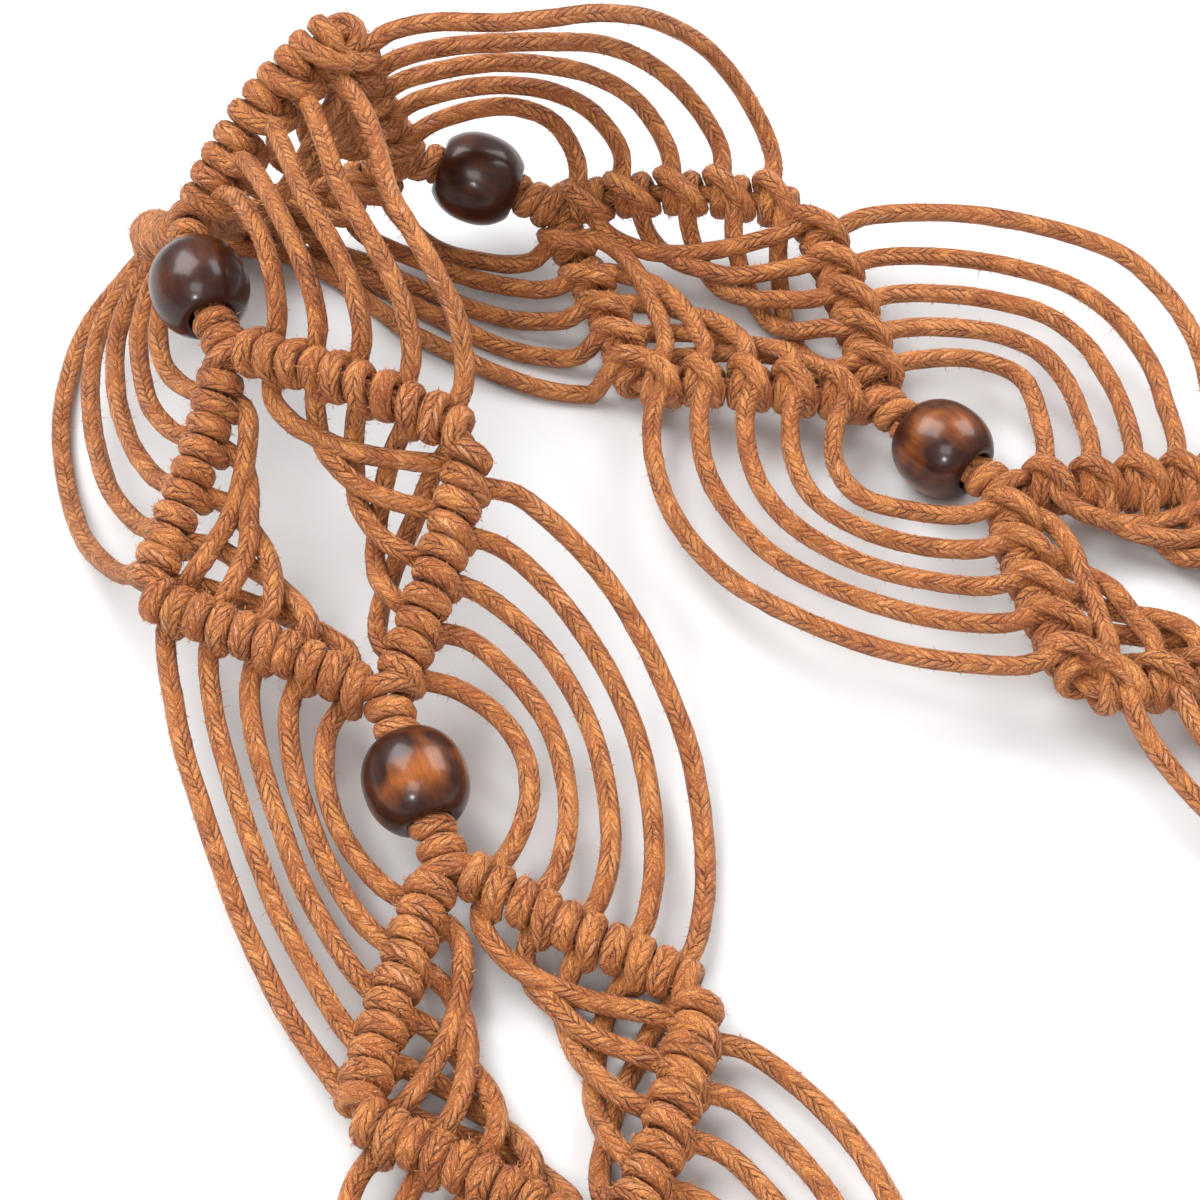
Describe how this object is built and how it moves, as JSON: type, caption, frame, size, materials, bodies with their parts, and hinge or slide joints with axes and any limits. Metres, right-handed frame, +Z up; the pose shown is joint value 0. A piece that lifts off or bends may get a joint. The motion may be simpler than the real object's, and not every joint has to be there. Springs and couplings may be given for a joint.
{
  "type": "braided cord belt",
  "caption": "Knotted cord belt of open diamonds and looped strands with barrel wood beads on its middle cords, lying folded over itself, with wrapped ends and loose tassels.",
  "frame": {"origin": "middle of the belt's footprint, on the surface that it lies on", "axes": "+Z up; in front, the belt's front end runs towards -Y, and its back end runs towards +X and a little towards -Y"},
  "size_m": [0.4514, 0.466, 0.0456],
  "materials": {
    "cord": "waxed braided cotton, low sheen",
    "bead": "dark stained, glossy lacquer"
  },
  "bodies": {
    "root": {"diamond_01": "cord", "diamond_02": "cord", "diamond_03": "cord", "diamond_04": "cord", "diamond_05": "cord", "diamond_06": "cord", "diamond_07": "cord", "diamond_08": "cord", "diamond_09": "cord", "diamond_10": "cord", "diamond_11": "cord", "bead_01": "bead", "bead_02": "bead", "bead_03": "bead", "bead_04": "bead", "bead_05": "bead", "bead_06": "bead", "bead_07": "bead", "bead_08": "bead", "bead_09": "bead", "bead_10": "bead", "bead_11": "bead", "bead_12": "bead", "core_01": "cord", "core_02": "cord", "core_03": "cord", "core_04": "cord", "core_05": "cord", "core_06": "cord", "core_07": "cord", "core_08": "cord", "core_09": "cord", "core_10": "cord", "core_11": "cord", "core_12": "cord", "tassel_back": "cord", "wrap_back": "cord", "tassel_front": "cord", "wrap_front": "cord"}
  },
  "joints": []
}
